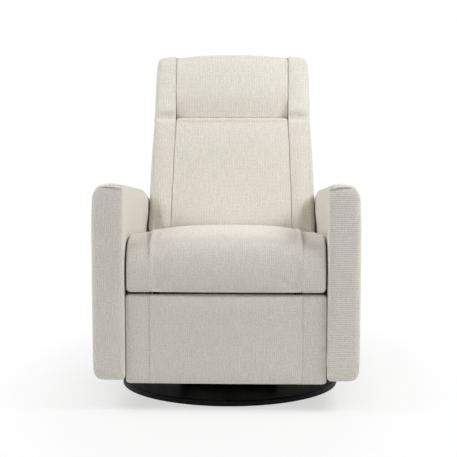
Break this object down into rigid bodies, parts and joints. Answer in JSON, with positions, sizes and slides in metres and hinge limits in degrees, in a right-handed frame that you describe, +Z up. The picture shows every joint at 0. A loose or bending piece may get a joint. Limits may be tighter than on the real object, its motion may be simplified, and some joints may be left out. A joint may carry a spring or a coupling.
{
  "type": "glider nursery recliner chair",
  "caption": "Upholstered swivel glider recliner for a nursery, on a round floor disc, with padded arms, scissor-link footrest, reclining back and tilting headrest.",
  "frame": {"origin": "on the floor under the swivel post, at the middle of the base disc", "axes": "+Z up, the sitter faces -Y, +X to the right as seen from the front"},
  "size_m": [0.778, 0.8709, 1.0634],
  "materials": {
    "black_paint": "satin black powder coat",
    "rubber_pad": "matt",
    "bare_steel": "zinc plated",
    "nylon": "plain nylon",
    "dark_steel": "black painted steel",
    "frame_wood": "bare plywood",
    "webbing": "woven webbing",
    "ivory_fabric": "ribbed ivory weave"
  },
  "bodies": {
    "base": {"base_disc": "black_paint", "floor_pads": "rubber_pad", "swivel_post": "bare_steel", "swivel_nut": "bare_steel", "thrust_ring": "nylon"},
    "turntable": {"turntable_plate": "dark_steel", "swivel_bush": "nylon", "glider_stands": "dark_steel", "glide_top_pins": "bare_steel"},
    "front_links": {"front_glide_links": "dark_steel", "front_glide_bushes": "nylon"},
    "rear_links": {"rear_glide_links": "dark_steel", "rear_glide_bushes": "nylon"},
    "seat_body": {"carriage_plates": "dark_steel", "cross_tubes": "dark_steel", "glide_bottom_pins": "bare_steel", "seat_side_rails": "frame_wood", "seat_cross_rails": "frame_wood", "seat_straps": "webbing", "seat_cushion": "ivory_fabric", "mechanism_plate_left": "dark_steel", "mechanism_plate_right": "dark_steel", "frame_bolts": "bare_steel", "arm_frame_left": "frame_wood", "arm_frame_right": "frame_wood", "arm_cover_left": "ivory_fabric", "arm_cover_right": "ivory_fabric", "arm_front_panel_left": "ivory_fabric", "arm_front_panel_right": "ivory_fabric", "rear_apron": "ivory_fabric", "recline_brackets": "dark_steel"},
    "lift_links": {"lift_shaft": "dark_steel", "lift_link_left": "dark_steel", "lift_link_right": "dark_steel", "lift_pins": "bare_steel"},
    "elbow_links": {"elbow_link_left": "dark_steel", "elbow_link_right": "dark_steel"},
    "cross_links": {"cross_link_left": "dark_steel", "cross_link_right": "dark_steel", "slot_rollers": "nylon"},
    "footrest": {"footrest_bracket_left": "dark_steel", "footrest_bracket_right": "dark_steel", "footrest_pins": "bare_steel", "footrest_board": "frame_wood", "footrest_pad": "ivory_fabric"},
    "back": {"back_stiles": "frame_wood", "back_rails": "frame_wood", "back_straps": "webbing", "recline_pins": "bare_steel", "back_cushion": "ivory_fabric", "back_wing_left": "ivory_fabric", "back_wing_right": "ivory_fabric", "back_outer_cover": "ivory_fabric", "headrest_hinge_arms": "dark_steel"},
    "headrest": {"headrest_frame": "frame_wood", "headrest_hinge_leaves": "dark_steel", "headrest_cushion": "ivory_fabric", "headrest_wing_left": "ivory_fabric", "headrest_wing_right": "ivory_fabric", "headrest_outer_cover": "ivory_fabric"}
  },
  "joints": [
    {"name": "swivel", "type": "hinge", "parent": "base", "child": "turntable", "pos_m": [0, 0, 0.026], "axis": [0, 0, 1], "continuous": true},
    {"name": "front_glide", "type": "hinge", "parent": "turntable", "child": "front_links", "pos_m": [0, -0.11, 0.245], "axis": [1, 0, 0], "range_deg": [-22, 22]},
    {"name": "seat_hang", "type": "hinge", "parent": "front_links", "child": "seat_body", "pos_m": [0, -0.11, 0.135], "axis": [1, 0, 0], "range_deg": [-22, 22]},
    {"name": "rear_glide", "type": "hinge", "parent": "turntable", "child": "rear_links", "pos_m": [0, 0.11, 0.245], "axis": [1, 0, 0], "range_deg": [-22, 22]},
    {"name": "footrest_lift", "type": "hinge", "parent": "seat_body", "child": "lift_links", "pos_m": [0, -0.295, 0.284], "axis": [-1, 0, 0], "range_deg": [0, 78]},
    {"name": "elbow", "type": "hinge", "parent": "lift_links", "child": "elbow_links", "pos_m": [0, -0.33382, 0.13911], "axis": [-1, 0, 0], "range_deg": [-156, 0]},
    {"name": "scissor", "type": "hinge", "parent": "lift_links", "child": "cross_links", "pos_m": [0, -0.32088, 0.18741], "axis": [-1, 0, 0], "range_deg": [-156, 0]},
    {"name": "footrest_turn", "type": "hinge", "parent": "elbow_links", "child": "footrest", "pos_m": [0, -0.32075, 0.28854], "axis": [-1, 0, 0], "range_deg": [0, 156]},
    {"name": "back_recline", "type": "hinge", "parent": "seat_body", "child": "back", "pos_m": [0, 0.23, 0.35], "axis": [-1, 0, 0], "range_deg": [0, 35]},
    {"name": "headrest_tilt", "type": "hinge", "parent": "back", "child": "headrest", "pos_m": [0, 0.24401, 0.84135], "axis": [1, 0, 0], "range_deg": [0, 20]}
  ],
  "couplings": [
    {"joint": "seat_hang", "follows": "front_glide", "ratio": -1},
    {"joint": "rear_glide", "follows": "front_glide", "ratio": 1},
    {"joint": "elbow", "follows": "footrest_lift", "ratio": -2},
    {"joint": "scissor", "follows": "footrest_lift", "ratio": -2},
    {"joint": "footrest_turn", "follows": "footrest_lift", "ratio": 2}
  ]
}
